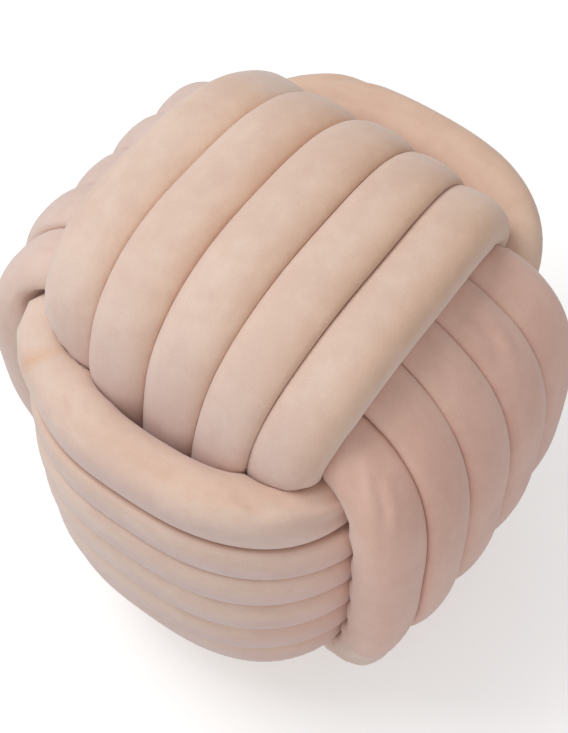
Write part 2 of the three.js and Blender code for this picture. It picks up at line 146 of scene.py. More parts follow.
# The tube's way through the middle: from its tucked start to the top winding, from each
# winding to the next, and from the right winding to its tucked end.
CORE_RUNS = (
    (
        (-34, -48, 26),
        (-55, -25, -5),
        (-55, 15, -15),
        (-30, 45, -3),
        (8, 58, 15),
        (42, 48, 38),
        (54, 10, 68),
        (24, -8, 80),
        (-20, 3, 78),
        (-58, 20, 83),
        (-88, 55, 97),
        (-97, 95, 110),
        (-97, 112, 133),
    ),
    (
        (98, 112, -133),
        (98, 95, -110),
        (93, 68, -94),
        (80, 40, -68),
        (64, 6, -42),
        (48, -33, 0),
        (25, -60, 50),
        (-10, -75, 85),
        (-45, -80, 100),
        (-75, -82, 106),
        (-99, -80, 103),
        (-116, -96, 115),
        (-122, -115, 112),
        (-112, -134, 104),
    ),
    (
        (-110, 139, -108),
        (-121, 115, -105),
        (-105, 93, -103),
        (-75, 85, -98),
        (-45, 75, -80),
        (-20, 55, -55),
        (-5, 20, -38),
        (0, -20, -38),
        (10, -55, -58),
        (30, -80, -90),
        (60, -90, -118),
        (90, -94, -138),
        (120, -95, -141),
        (143, -95, -128),
    ),
    (
        (-143, 78, -128),
        (-120, 75, -140),
        (-90, 68, -138),
        (-60, 50, -120),
        (-30, 20, -105),
        (0, -8, -102),
        (-14, -32, -92),
        (-40, -47, -78),
        (-74, -57, -42),
    ),
)

# Where a core run is thinner than usual: run, point, share of the usual width.
THINNED = ((1, 12, 0.82), (1, 13, 0.72), (1, 14, 0.74))

FLOOR_BELOW_MIDDLE = 215
WOUND_PER_WINDING = 100  # wound says where a station is: this much a winding, 1 a turn
WOUND_IN_CORE = -50.0
CROWN_POWER = 2.5  # how late the outermost strands drop away
PINCH_POWER = 2.2  # how soon strands draw together as they leave a face
SHIFT_ANGLE = 42.0  # degrees, half the stretch where a turn steps sideways
LEAD_ANGLE = 58.0  # degrees, where a winding's first turn leaves the core
TURN_STEP = 8.0  # degrees

# ---- Settling: lengths that lie too close push each other apart ----
SETTLE_SPACING = 15  # between the points that are moved
SETTLE_CLEARANCE = 40  # wanted between middle lines that cross or lie side by side
SETTLE_REACH = 75  # pairs farther apart than this are never looked at
SETTLE_ROUNDS = 60
SETTLE_RETURN = 0.05  # share of its displacement that a point gives back each round
FACE_GIVE = 0.15  # how readily a strand on a face moves; one below a winding has 1
SAME_LENGTH = 110  # points nearer than this along the tube don't press on each other
SAME_BEND = 30  # nor do these limit each other as the two arms of a bend

# ---- The skin ----
STRAND_FULLNESS = 2.4  # 2 is an ellipse, more is boxier
KEEL_FROM = math.radians(28)  # a strand's inward bulge starts this far below its sides
PRESS_SHARPNESS = 28  # how crisply a pressed side meets the free crown
BEND_LIMIT = 0.85  # share of the bend radius that the inside of a bend may fill
FAR = 9000.0
PRESSED_FROM = 0.8  # free radius over pressed radius where the skin starts to count as pressed
PRESSED_WHOLLY = 1.25
SHOWN_SPACING = 6.8  # between rings where the tube shows
HIDDEN_SPACING = 14.0
HIDDEN_GIVE = (0.72, 0.95)  # give of the line where it starts to be hidden and wholly is
CREASED_SPACING = 3.4
CREASE_MARGIN = 0.012  # of a turn, ringed closely before and after each crease
OUTER_SIDES = 30  # corners of a ring's outward half
INNER_SIDES = 14
TIP_LENGTH = 36
TIP_RINGS = (0.5, 3, 8, 16, 26, TIP_LENGTH)  # distances from a tip


def signed_power(value, power):
    return np.sign(value) * np.abs(value) ** power


def smoothstep(value, low=0.0, high=1.0):
    share = np.clip((value - low) / (high - low), 0, 1)
    return share * share * (3 - 2 * share)


def unit(rows):
    return rows / np.linalg.norm(rows, axis=-1, keepdims=True)


def wound_at(winding, strand, angle):
    """Where an angle on a strand's turn, counted from 1, lies along the tube."""
    return WOUND_PER_WINDING * winding + strand - 1 + (angle + 90) / 360


def degrees_from(wound, winding, strand, angle):
    return (wound - wound_at(winding, strand, angle)) * 360


# ---- The tube's middle line ----


def handed_across(winding):
    """The winding's across direction, turned so that travel x across points outward."""
    across, out, side = (np.array(winding[k], float) for k in ("across", "out", "side"))
    return across * np.dot(across, np.cross(out, side))


def turn_points(winding, at, lift, angle):
    """Points of a winding's turn; angle 0 is the middle of the face, 90 that of the side."""
    across, out, side = (np.array(winding[k], float) for k in ("across", "out", "side"))
    cos, sin = np.cos(np.radians(angle)), np.sin(np.radians(angle))
    edge = np.abs(at / winding["face_half"]) ** CROWN_POWER
    outward = winding["out_reach"] * (1 - winding["out_drop"] * edge) + lift * cos**2
    sideways = winding["side_reach"] * (1 - winding["side_drop"] * edge)
    spread = 1 - (1 - winding["pinch"]) * (1 - np.abs(cos) ** PINCH_POWER)
    power = 2 / winding["squareness"]
    return (
        np.outer(at * spread, across)
        + np.outer(outward * signed_power(cos, power), out)
        + np.outer(sideways * signed_power(sin, power), side)
    )


def places_across(strands, turn, angle):
    """A turn steps over to the next strand's place on one hidden side."""
    here = strands[turn][0]
    at = np.full(len(angle), float(here))
    from_start = (angle + 90) / SHIFT_ANGLE
    to_end = (270 - angle) / SHIFT_ANGLE
    if turn > 0:
        before = strands[turn - 1][0]
        share = smoothstep(0.5 + from_start / 2)
        at = np.where(from_start < 1, before + (here - before) * share, at)
    if turn < len(strands) - 1:
        after = strands[turn + 1][0]
        share = smoothstep(0.5 - to_end / 2)
        at = np.where(to_end < 1, here + (after - here) * share, at)
    return at


def winding_stations(number):
    """Stations along a winding, turn after turn."""
    winding = WINDINGS[number]
    strands = winding["strands"]
    parts = []
    for turn, (_, lift, girth) in enumerate(strands):
        last = turn == len(strands) - 1
        start = -90 + (LEAD_ANGLE if turn == 0 else 0)
        end = 270 - (LEAD_ANGLE if last else 0)
        count = round((end - start) / TURN_STEP)
        steps = np.arange(count + 1 if last else count)
        angle = start + (end - start) * steps / count
        at = places_across(strands, turn, angle)
        size = len(angle)
        outermost = turn == 0 or last
        parts.append(
            {
                "point": turn_points(winding, at, lift, angle),
                "across": np.tile(handed_across(winding), (size, 1)),
                "give": FACE_GIVE + (1 - FACE_GIVE) * np.sin(np.radians(angle)) ** 2,
                "pressed": np.ones(size),
                "girth": np.full(size, float(girth)),
                "keel": np.sin(np.radians(angle)) ** 2 if outermost else np.ones(size),
                "wound": wound_at(number, turn + 1, angle),
            }
        )
    return joined(parts)


def core_stations(number, before, after):
    """Stations inside the knot; next to a winding the tube still has a strand's section."""
    run = CORE_RUNS[number]
    size = len(run)
    index = np.arange(size)
    from_before = index + 1 if before else np.full(size, FAR)
    to_after = size - index if after else np.full(size, FAR)
    share = np.arange(1, size + 1)[:, None] / (size + 1)
    girth = np.ones(size)
    for thinned_run, point, width in THINNED:
        if thinned_run == number:
            girth[point - 1] = width
    return {
        "point": np.array(run, float),
        "across": (1 - share) * handed_across(before or after)
        + share * handed_across(after or before),
        "give": np.ones(size),
        "pressed": 1 - smoothstep(np.minimum(from_before, to_after), 3, 6),
        "girth": girth,
        "keel": np.ones(size),
        "wound": np.full(size, WOUND_IN_CORE),
    }


def joined(parts):
    return {key: np.concatenate([part[key] for part in parts]) for key in parts[0]}


def nudged(stations):
    """Moves single stretches of strands by given amounts."""
    point = stations["point"].copy()
    for winding, strands, angle, reach, move in NUDGES:
        for strand in strands:
            away = degrees_from(stations["wound"], winding, strand, angle) / reach
            point += np.outer(np.exp(-(away**2)), move)
    return {**stations, "point": point}


def whole_tube():
    top, front, right = WINDINGS
    stations = joined(
        [
            core_stations(0, None, top),
            winding_stations(0),
            core_stations(1, top, front),
            winding_stations(1),
            core_stations(2, front, right),
            winding_stations(2),
            core_stations(3, right, None),
        ]
    )
    return nudged(stations)


def lengths_along(points):
    steps = np.linalg.norm(np.diff(points, axis=0), axis=1)
    return np.concatenate([[0.0], np.cumsum(steps)])


def interpolated(positions, known, values):
    if values.ndim == 1:
        return np.interp(positions, known, values)
    return np.stack([np.interp(positions, known, column) for column in values.T], axis=1)


def stations_at(stations, distances):
    lengths = lengths_along(stations["point"])
    return {key: interpolated(distances, lengths, rows) for key, rows in stations.items()}


def evenly(stations, spacing):
    total = lengths_along(stations["point"])[-1]
    return stations_at(stations, np.linspace(0, total, round(total / spacing) + 1))


def curve_through(points, between):
    """A centripetal Catmull-Rom curve with the same number of points in each span."""
    padded = np.vstack([2 * points[0] - points[1], points, 2 * points[-1] - points[-2]])
    knots = np.sqrt(np.linalg.norm(np.diff(padded, axis=0), axis=1))
    p0, p1, p2, p3 = (padded[i : len(padded) - 3 + i, None] for i in range(4))
    t1 = knots[:-2, None, None]
    t2 = t1 + knots[1:-1, None, None]
    t3 = t2 + knots[2:, None, None]
    t = t1 + (t2 - t1) * (np.arange(between) / between)[None, :, None]
    a1 = (t1 - t) / t1 * p0 + t / t1 * p1
    a2 = (t2 - t) / (t2 - t1) * p1 + (t - t1) / (t2 - t1) * p2
    a3 = (t3 - t) / (t3 - t2) * p2 + (t - t2) / (t3 - t2) * p3
    b1 = (t2 - t) / t2 * a1 + t / t2 * a2
    b2 = (t3 - t) / (t3 - t1) * a2 + (t - t1) / (t3 - t1) * a3
    curve = (t2 - t) / (t2 - t1) * b1 + (t - t1) / (t2 - t1) * b2
    return np.vstack([curve.reshape(-1, 3), points[-1:]])


def smoothed(stations, between):
    count = len(stations["point"])
    position = np.arange((count - 1) * between + 1) / between
    result = {
        key: interpolated(position, np.arange(count), rows) for key, rows in stations.items()
    }
    result["point"] = curve_through(stations["point"], between)
    return result


def settled(stations):
    """Pushes apart the lengths that lie nearer to each other than SETTLE_CLEARANCE."""
    home = stations["point"]
    give = stations["give"]
    count = len(home)
    away = round(SAME_LENGTH / SETTLE_SPACING)
    first, second = np.triu_indices(count, away + 1)
    near = np.linalg.norm(home[first] - home[second], axis=1) < SETTLE_REACH
    first, second = first[near], second[near]
    share = (give[first] / (give[first] + give[second]))[:, None]
    offset = np.zeros_like(home)
    for _ in range(SETTLE_ROUNDS):
        points = home + offset
        apart = points[first] - points[second]
        distance = np.linalg.norm(apart, axis=1)
        close = distance < SETTLE_CLEARANCE
        lack = apart[close] * ((SETTLE_CLEARANCE - distance) / distance)[close, None]
        push = np.zeros_like(home)
        np.add.at(push, first[close], lack * share[close])
        np.add.at(push, second[close], -lack * (1 - share[close]))
        contacts = np.bincount(first[close], minlength=count)
        contacts = contacts + np.bincount(second[close], minlength=count)
        offset = offset + push / np.maximum(contacts, 1)[:, None]
        offset = offset * (1 - SETTLE_RETURN)
        for _ in range(2):
            middle = 0.5 * offset[1:-1] + 0.25 * (offset[:-2] + offset[2:])
            offset = np.vstack([offset[:1], middle, offset[-1:]])
    return {**stations, "point": home + offset}


def middle_line():
    """The settled middle line, with each point's distance along the tube and its bend."""
    rough = evenly(smoothed(whole_tube(), 5), SETTLE_SPACING)
    line = evenly(smoothed(settled(rough), 4), SETTLE_SPACING / 2)
    points = line["point"]
    line["distance"] = lengths_along(points)
    step = line["distance"][1]
    line["along"] = unit(np.gradient(points, axis=0))
    bend = np.zeros_like(points)
    bend[1:-1] = (points[2:] - 2 * points[1:-1] + points[:-2]) / step**2
    line["bend"] = bend
    return line


# ---- The tube's skin ----


def ring_distances(line):
    """Where the rings stand: close together where the tube shows, and at its rounded ends."""
    hidden = smoothstep(line["give"], *HIDDEN_GIVE)
    spacing = SHOWN_SPACING + (HIDDEN_SPACING - SHOWN_SPACING) * hidden
    for winding, strand, points, _, _ in CREASES:
        wound = wound_at(winding, strand, np.array([p[0] for p in points]))
        within = line["wound"] > wound.min() - CREASE_MARGIN
        within &= line["wound"] < wound.max() + CREASE_MARGIN
        spacing = np.where(within, CREASED_SPACING, spacing)
    effort = np.concatenate([[0], np.cumsum(np.diff(line["distance"]) / spacing[1:])])
    count = int(np.ceil(effort[-1]))
    distances = np.interp(np.arange(1, count) * effort[-1] / count, effort, line["distance"])
    total = line["distance"][-1]
    tip = np.array(TIP_RINGS)
    inner = distances[(distances > 1.2 * TIP_LENGTH) & (distances < total - 1.2 * TIP_LENGTH)]
    return np.concatenate([tip, inner, (total - tip)[::-1]])


def ring_angles():
    """Corner angles, closer together on the outward half, from the middle of the inner."""
    half = math.pi / INNER_SIDES
    inner_end = -math.pi / 2 + np.arange(INNER_SIDES // 2) * half
    outer = np.arange(OUTER_SIDES) * math.pi / OUTER_SIDES
    inner_start = math.pi + np.arange(INNER_SIDES // 2) * half
    return np.concatenate([inner_end, outer, inner_start])


def free_radii(sizes, ring, angles):
    """The unpressed section: a superellipse, round inside the knot."""
    pressed = ring["pressed"]

    def mix(strand):
        return sizes["core"] + (strand - sizes["core"]) * pressed

    width = mix(sizes["half_width"] * ring["girth"])
    thinner = math.sqrt(ring["girth"])
    inward = np.clip(-np.sin(angles), 0, 1)
    height = mix(np.where(inward > 0, sizes["belly"], sizes["crown"])) * thinner
    fullness = 2 + (STRAND_FULLNESS - 2) * pressed
    across = np.abs(np.cos(angles) / width) ** fullness
    outward = np.abs(np.sin(angles) / height) ** fullness
    deeper = max(0.0, mix(sizes["depth"]) - mix(sizes["belly"])) * thinner * ring["keel"]
    keel = smoothstep(np.arcsin(inward), KEEL_FROM, math.pi / 2)
    return (across + outward) ** (-1 / fullness) + deeper * keel


def pressed_radii(sizes, ring, directions, line):
    """Half the distance to every other length in these directions, and a little pile."""
    away = line["point"] - ring["point"]
    length = np.linalg.norm(away, axis=1)
    along = np.abs(line["distance"] - ring["distance"])
    near = (along > SAME_BEND) & (length < 2 * max(sizes["depth"], sizes["core"]) + 8)
    if not near.any():
        return np.full(len(directions), FAR)
    facing = directions @ away[near].T
    reach = (length[near] + sizes["sinking"]) * length[near]
    reach = reach * np.where(along[near] > SAME_LENGTH, 1, BEND_LIMIT)
    return np.where(facing > 0, reach / (2 * np.maximum(facing, 1e-6)), FAR).min(axis=1)


def skin_rings(sizes, line):
    """Every ring's directions, its radii and the share of the skin that is pressed."""
    rings = stations_at(line, ring_distances(line))
    across = rings["across"]
    across = across - (across * rings["along"]).sum(axis=1, keepdims=True) * rings["along"]
    across = unit(across)
    upward = np.cross(rings["along"], across)
    angles = ring_angles()
    cos, sin = np.cos(angles), np.sin(angles)
    count = len(rings["point"])
    directions = cos[None, :, None] * across[:, None] + sin[None, :, None] * upward[:, None]
    free = np.empty((count, len(angles)))
    limit = np.empty_like(free)
    for i in range(count):
        ring = {key: rows[i] for key, rows in rings.items()}
        free[i] = free_radii(sizes, ring, angles)
        limit[i] = pressed_radii(sizes, ring, directions[i], line)
    inward = (directions * rings["bend"][:, None]).sum(axis=2)
    bend = np.where(inward > 0, BEND_LIMIT / np.maximum(inward, 1e-6), FAR)
    radii = (
        free**-PRESS_SHARPNESS + limit**-PRESS_SHARPNESS + bend**-PRESS_SHARPNESS
    ) ** (-1 / PRESS_SHARPNESS)
    total = line["distance"][-1]
    from_tip = np.minimum(rings["distance"], total - rings["distance"]) / TIP_LENGTH
    radii *= np.sqrt(1 - (1 - np.minimum(from_tip, 1)) ** 2)[:, None]
    down = -directions[..., 2]
    to_floor = (rings["point"][:, 2] + FLOOR_BELOW_MIDDLE)[:, None]
    floor = np.where(down > 0, to_floor / np.maximum(down, 1e-6), FAR)
    pressed = free / np.minimum(limit, floor)
    rings["directions"] = directions
    rings["radii"] = np.minimum(radii, floor)
    rings["closeness"] = smoothstep(pressed, PRESSED_FROM, PRESSED_WHOLLY)
    return rings


def around_lengths(points):
    """Distance around each ring from the middle of its crown, signed, and its whole girth."""
    steps = np.linalg.norm(np.roll(points, -1, axis=1) - points, axis=2)
    start = np.concatenate([np.zeros((len(points), 1)), np.cumsum(steps, axis=1)], axis=1)
    crown = INNER_SIDES // 2 + OUTER_SIDES // 2
    return start[:, :-1] - start[:, crown : crown + 1], steps.sum(axis=1)


def tube_points(rings):
    return rings["point"][:, None] + rings["directions"] * rings["radii"][..., None]


# ---- Creases, placed one by one ----
# Winding (0 top, 1 front, 2 right), strand from 1, then points (degrees round the turn from
# the middle of its face, millimetres around the tube from its crown), width and depth in
# millimetres. A negative depth is a ridge.
CREASE_SHOULDER = 0.45  # height of the swelling beside a trough, as a share of its depth
SHOULDER_PLACE = 1.7  # widths from the trough's middle
CREASE_REACH = 3  # widths within which a crease moves the skin
TURN_STEEPEST = 0.1  # turns from one ring to the next; in the core the count jumps by more
CREASES = (
    (1, 1, ((-31, -36), (-25, -27), (-20, -20)), 3.6, 2.4),
    (1, 1, ((-28, -42), (-21, -34), (-14, -29)), 3.4, 2.0),
    (1, 1, ((24, -40), (31, -30), (37, -26)), 4.0, 2.2),
    (1, 1, ((40, -16), (50, -9), (62, -6)), 6.0, 2.0),
    (1, 1, ((46, -28), (62, -20)), 4.5, 1.5),
    (1, 1, ((196, -16), (204, -26), (212, -34)), 5.0, 2.2),
    (2, 1, ((31, -24), (38, -16), (46, -10)), 4.0, 1.7),
    (2, 1, ((42, -28), (52, -16)), 3.6, 1.5),
    (2, 4, ((38, -10), (48, -2), (58, 2)), 6.0, 1.6),
    (2, 4, ((34, 10), (48, 17)), 5.0, 1.3),
)


def crease_depths(rings, around):
    """How far each corner moves in, from the creases' soft troughs and ridges."""
    depth = np.zeros_like(around)
    along = rings["distance"]
    turning = np.gradient(rings["wound"])
    on_turns = (turning > 0) & (turning < TURN_STEEPEST)
    for winding, strand, points, width, deep in CREASES:
        wound = wound_at(winding, strand, np.array([p[0] for p in points]))
        inside = (np.abs(rings["wound"] - (WOUND_PER_WINDING * winding + 3)) < 4) & on_turns
        s = np.interp(wound, rings["wound"][inside], along[inside])
        path = np.stack([s, [p[1] for p in points]], axis=1)
        reach = CREASE_REACH * width
        near = (along > s.min() - reach) & (along < s.max() + reach)
        spot = np.stack(np.broadcast_arrays(along[near, None], around[near]), axis=2)
        best = np.full(spot.shape[:2], FAR)
        place = np.zeros_like(best)
        for part, (a, b) in enumerate(zip(path, path[1:])):
            run = b - a
            share = np.clip(((spot - a) @ run) / (run @ run), 0, 1)
            gone = np.linalg.norm(spot - a - share[..., None] * run, axis=2)
            place = np.where(gone < best, (part + share) / (len(path) - 1), place)
            best = np.minimum(best, gone)
        fade = np.sin(math.pi * np.clip(place, 0.02, 0.98)) ** 0.7
        trough = np.exp(-((best / width) ** 2))
        beside = np.exp(-(((best - SHOULDER_PLACE * width) / width) ** 2))
        depth[near] += deep * fade * (trough - CREASE_SHOULDER * beside)
    return depth


# ---- Painted light and shade on the velvet: each face and flank takes the tint of the light falling there ----
# Winding, strands from 1, degrees round the turn and how far it reaches, millimetres around the
# tube from its crown and how far it reaches, then the painted light or shade colour and its
# strength.
BELOW_FIRST = (2, 3, 4, 5, 6)
PAINTED_LIGHT_TINTS = (
    (0, ALL_FIVE, 0, 75, -26, 16, "peach", 0.7),
    (0, ALL_FIVE, -45, 40, 0, 60, "peach", 0.5),
    (0, ALL_FIVE, 76, 26, 0, 60, "mauve", 0.8),
    (1, BELOW_FIRST, 0, 70, 12, 16, "mauve", 0.9),
    (1, BELOW_FIRST, 65, 30, 0, 60, "pink", 0.7),
    (1, (1,), 0, 70, 0, 16, "mauve", 0.6),
    (1, (1,), 15, 30, -34, 14, "peach", 0.5),
    (1, (1,), 75, 25, 0, 60, "pink", 0.7),
    (1, (1,), 180, 80, 0, 60, "peach", 1.0),
    (2, ALL_FIVE, 0, 90, 0, 60, "pink", 1.0),
    (2, ALL_FIVE, -65, 35, 0, 60, "mauve", 0.5),
    (2, ALL_FIVE, 180, 60, 0, 60, "mauve", 0.5),
)


def velvet_with_painted_light(rings, around, looks):
    """The velvet's colour at every corner, with light and shade painted on by face and flank."""
    base = np.array(looks.velvet_colour)
    painted_light_colours = {
        "peach": looks.peach_painted_light,
        "pink": looks.pink_painted_shade,
        "mauve": looks.mauve_painted_shade,
    }
    colour = np.tile(base, (*around.shape, 1))
    for winding, strands, angle, reach, offset, spread, painted_light, strength in PAINTED_LIGHT_TINTS:
        beside = np.exp(-(((around - offset) / spread) ** 2))
        for strand in strands:
            away = degrees_from(rings["wound"], winding, strand, angle) / reach
            share = strength * np.exp(-(away**2))[:, None] * beside
            colour += share[..., None] * (np.array(painted_light_colours[painted_light]) - base)
    return colour


# ---- The mesh ----


def tube_mesh(sizes):
    line = middle_line()
    rings = skin_rings(sizes, line)
    around, _ = around_lengths(tube_points(rings))
    rings["radii"] = rings["radii"] - crease_depths(rings, around)
    skin = tube_points(rings)
    around, girth = around_lengths(skin)
    return line, rings, skin, around, girth


def mesh_object(name, skin, tips):
    """A closed tube of quads, with a fan to each tip."""
    count, sides = skin.shape[:2]
    vertices = np.vstack([skin.reshape(-1, 3), tips])
    ring = np.arange(count - 1)[:, None] * sides
    side = np.arange(sides)[None]
    after = (side + 1) % sides
    quads = np.stack(
        np.broadcast_arrays(ring + side, ring + after, ring + sides + after, ring + sides + side),
        axis=2,
    ).reshape(-1, 4)
    side = np.arange(sides)
    after = (side + 1) % sides
    last = (count - 1) * sides
    first_tip, last_tip = count * sides, count * sides + 1
    start = np.stack([np.full(sides, first_tip), after, side], axis=1)
    end = np.stack([np.full(sides, last_tip), last + side, last + after], axis=1)
    faces = quads.tolist() + start.tolist() + end.tolist()
    mesh = bpy.data.meshes.new(name)
    mesh.from_pydata(vertices.tolist(), [], faces)
    mesh.update()
    piece = bpy.data.objects.new(name, mesh)
    bpy.context.scene.collection.objects.link(piece)
    return piece


def put_uv(piece, rings, around, girth):
    """Metres along the tube and around it, joined where the tube faces inward."""
    count, sides = around.shape
    mesh = piece.data
    layer = mesh.uv_layers.new(name="along_around")
    u = np.repeat(rings["distance"][:, None], sides, axis=1).ravel()
    u = np.concatenate([u, [0.0, rings["distance"][-1]]])
    v = np.concatenate([around.ravel(), [0.0, 0.0]])
    corner = np.empty(len(mesh.loops), np.int32)
    mesh.loops.foreach_get("vertex_index", corner)
    uv = np.stack([u[corner], v[corner]], axis=1)
    quads = (count - 1) * sides
    quad_uv = uv[: quads * 4].reshape(count - 1, sides, 4, 2)
    quad_uv[:, -1, 1, 1] += girth[:-1]
    quad_uv[:, -1, 2, 1] += girth[1:]
    layer.data.foreach_set("uv", (uv * MM).ravel().astype(np.float32))


def put_attribute(piece, name, values):
    attribute = piece.data.attributes.new(name, "FLOAT", "POINT")
    attribute.data.foreach_set("value", np.asarray(values, np.float32).ravel())


def put_colour(piece, name, colours):
    """A colour for every vertex; the two tips take that of the ring next to them."""
    rows = np.vstack([colours.reshape(-1, 3), colours[0, 0], colours[-1, 0]])
    rows = np.clip(np.hstack([rows, np.ones((len(rows), 1))]), 0, 1)
    attribute = piece.data.attributes.new(name, "FLOAT_COLOR", "POINT")
    attribute.data.foreach_set("color", rows.astype(np.float32).ravel())


# ---- Materials ----


class Nodes:
    """Short ways to add and join a material's nodes."""

    def __init__(self, name):
        self.material = bpy.data.materials.new(name)
        self.material.use_nodes = True
        self.tree = self.material.node_tree
        self.tree.nodes.clear()

    def add(self, kind, **settings):
        node = self.tree.nodes.new("ShaderNode" + kind)
        for key, value in settings.items():
            setattr(node, key, value)
        return node

    def join(self, source, target):
        self.tree.links.new(source, target)

    def noise(self, vector, scale, detail=2.0, rough=0.5, distortion=0.0):
        node = self.add("TexNoise")
        self.join(vector, node.inputs["Vector"])
        node.inputs["Scale"].default_value = scale
        node.inputs["Detail"].default_value = detail
        node.inputs["Roughness"].default_value = rough
        node.inputs["Distortion"].default_value = distortion
        return node.outputs["Fac"]

    def stretched(self, vector, scale):
        node = self.add("Mapping")
        self.join(vector, node.inputs["Vector"])
        node.inputs["Scale"].default_value = scale
        return node.outputs["Vector"]

    def span(self, value, low, high, to_low=0.0, to_high=1.0):
        node = self.add("MapRange")
        node.interpolation_type = "SMOOTHSTEP"
        self.join(value, node.inputs["Value"])
        node.inputs["From Min"].default_value = low
        node.inputs["From Max"].default_value = high
        node.inputs["To Min"].default_value = to_low
        node.inputs["To Max"].default_value = to_high
        return node.outputs["Result"]

    def mix(self, share, first, second, blend="MIX"):
        node = self.add("Mix", data_type="RGBA", blend_type=blend)
        sockets = [node.inputs["Factor"], node.inputs[6], node.inputs[7]]
        for socket, value in zip(sockets, (share, first, second)):
            if isinstance(value, bpy.types.NodeSocket):
                self.join(value, socket)
            else:
                socket.default_value = value
        return node.outputs[2]

    def math(self, operation, first, second):
        node = self.add("Math")
        node.operation = operation
        for socket, value in zip(node.inputs, (first, second)):
            if isinstance(value, bpy.types.NodeSocket):
                self.join(value, socket)
            else:
                socket.default_value = value
        return node.outputs["Value"]


def rgba(colour, share=1.0):
    return [c * share for c in colour] + [1.0]


def velvet_material(looks):
    """Short-napped velvet: brushed patches, fine pile and a soft sheen, with painted light and shade
    from the colour attribute, a painted sheen where the skin is seen edge on and painted shade in
    the seams.
    """
    nodes = Nodes("dusty_pink_velvet")
    place = nodes.add("TexCoord").outputs["Object"]
    cloth = nodes.add("UVMap", uv_map="along_around").outputs["UV"]
    shader = nodes.add("BsdfPrincipled")
    output = nodes.add("OutputMaterial")
    nodes.join(shader.outputs["BSDF"], output.inputs["Surface"])

    # This colour attribute holds the velvet's colour with painted light and shade on its faces and
    # flanks.
    main = nodes.add("Attribute", attribute_name="painted_light").outputs["Color"]
    brushed = nodes.mix(1.0, main, (0.93, 0.89, 0.88, 1), "MULTIPLY")
    patches = nodes.noise(place, 13, 3, 0.55, 0.4)
    streaks = nodes.noise(nodes.stretched(cloth, (14, 34, 1)), 1.0, 3, 0.6, 0.6)
    small = nodes.noise(place, 75, 3, 0.6)
    patched = nodes.math("MULTIPLY", patches, 0.45)
    streaked = nodes.math("MULTIPLY", streaks, 0.35)
    mottle = nodes.math("ADD", patched, streaked)
    mottle = nodes.math("ADD", mottle, nodes.math("MULTIPLY", small, 0.2))
    shade = nodes.span(mottle, 0.4, 0.6)
    colour = nodes.mix(shade, main, brushed)
    pile = nodes.noise(place, 1400, 2, 0.7)
    pile_shade = nodes.span(pile, 0.3, 0.7, 0.955, 1.045)
    grey = nodes.add("CombineColor")
    for socket in grey.inputs[:3]:
        nodes.join(pile_shade, socket)
    colour = nodes.mix(1.0, colour, grey.outputs["Color"], "MULTIPLY")
    # Painted sheen: the colour turns lighter and greyer where the skin is seen edge on.
    facing = nodes.add("LayerWeight")
    facing.inputs["Blend"].default_value = 0.5
    edge = nodes.span(facing.outputs["Facing"], 0.35, 1.0, 0.0, 0.3)
    colour = nodes.mix(edge, colour, rgba(looks.painted_sheen_colour))
    # Painted shade: the velvet turns dark brown where strands press together, as shade in the seams.
    closeness = nodes.add("Attribute", attribute_name="closeness")
    deep = nodes.span(closeness.outputs["Fac"], 0.45, 1.0, 0.0, looks.seam_shade)
    colour = nodes.mix(deep, colour, rgba(looks.seam_shade_colour))
    nodes.join(colour, shader.inputs["Base Color"])
    nodes.join(nodes.span(mottle, 0.35, 0.65, 0.78, 0.92), shader.inputs["Roughness"])
    shader.inputs["Specular IOR Level"].default_value = 0.15
    shader.inputs["Sheen Weight"].default_value = looks.sheen
    shader.inputs["Sheen Roughness"].default_value = 0.45
    shader.inputs["Sheen Tint"].default_value = (1.0, 0.93, 0.91, 1.0)

    bump = nodes.add("Bump")
    bump.inputs["Strength"].default_value = 0.35
    bump.inputs["Distance"].default_value = 0.0006
    nodes.join(pile, bump.inputs["Height"])
    soft = nodes.add("Bump")
    soft.inputs["Strength"].default_value = 0.5
    soft.inputs["Distance"].default_value = 0.0015
    nodes.join(small, soft.inputs["Height"])
    nodes.join(soft.outputs["Normal"], bump.inputs["Normal"])
    nodes.join(bump.outputs["Normal"], shader.inputs["Normal"])
    return nodes.material


def floor_material(looks):
    """Pale and plain; white to the camera, but with the pouf's shadow."""
    nodes = Nodes("plain_floor")
    place = nodes.add("TexCoord").outputs["Object"]
    shader = nodes.add("BsdfPrincipled")
    output = nodes.add("OutputMaterial")
    nodes.join(shader.outputs["BSDF"], output.inputs["Surface"])
    grain = nodes.noise(place, 30, 2)
    shade = nodes.span(grain, 0.3, 0.7, 0.0, 1.0)
    colour = nodes.mix(shade, rgba(looks.floor_colour), rgba(looks.floor_colour, 0.995))
    nodes.join(colour, shader.inputs["Base Color"])
    shader.inputs["Roughness"].default_value = 0.9
    shader.inputs["Specular IOR Level"].default_value = 0.1
    path = nodes.add("LightPath")
    seen = nodes.math("MAXIMUM", path.outputs["Is Camera Ray"], path.outputs["Is Glossy Ray"])
    seen = nodes.math("MAXIMUM", seen, path.outputs["Is Transmission Ray"])
    shader.inputs["Emission Color"].default_value = (1, 1, 1, 1)
    nodes.join(nodes.math("MULTIPLY", seen, looks.floor_glow), shader.inputs["Emission Strength"])
    return nodes.material


# ---- The add-on ----


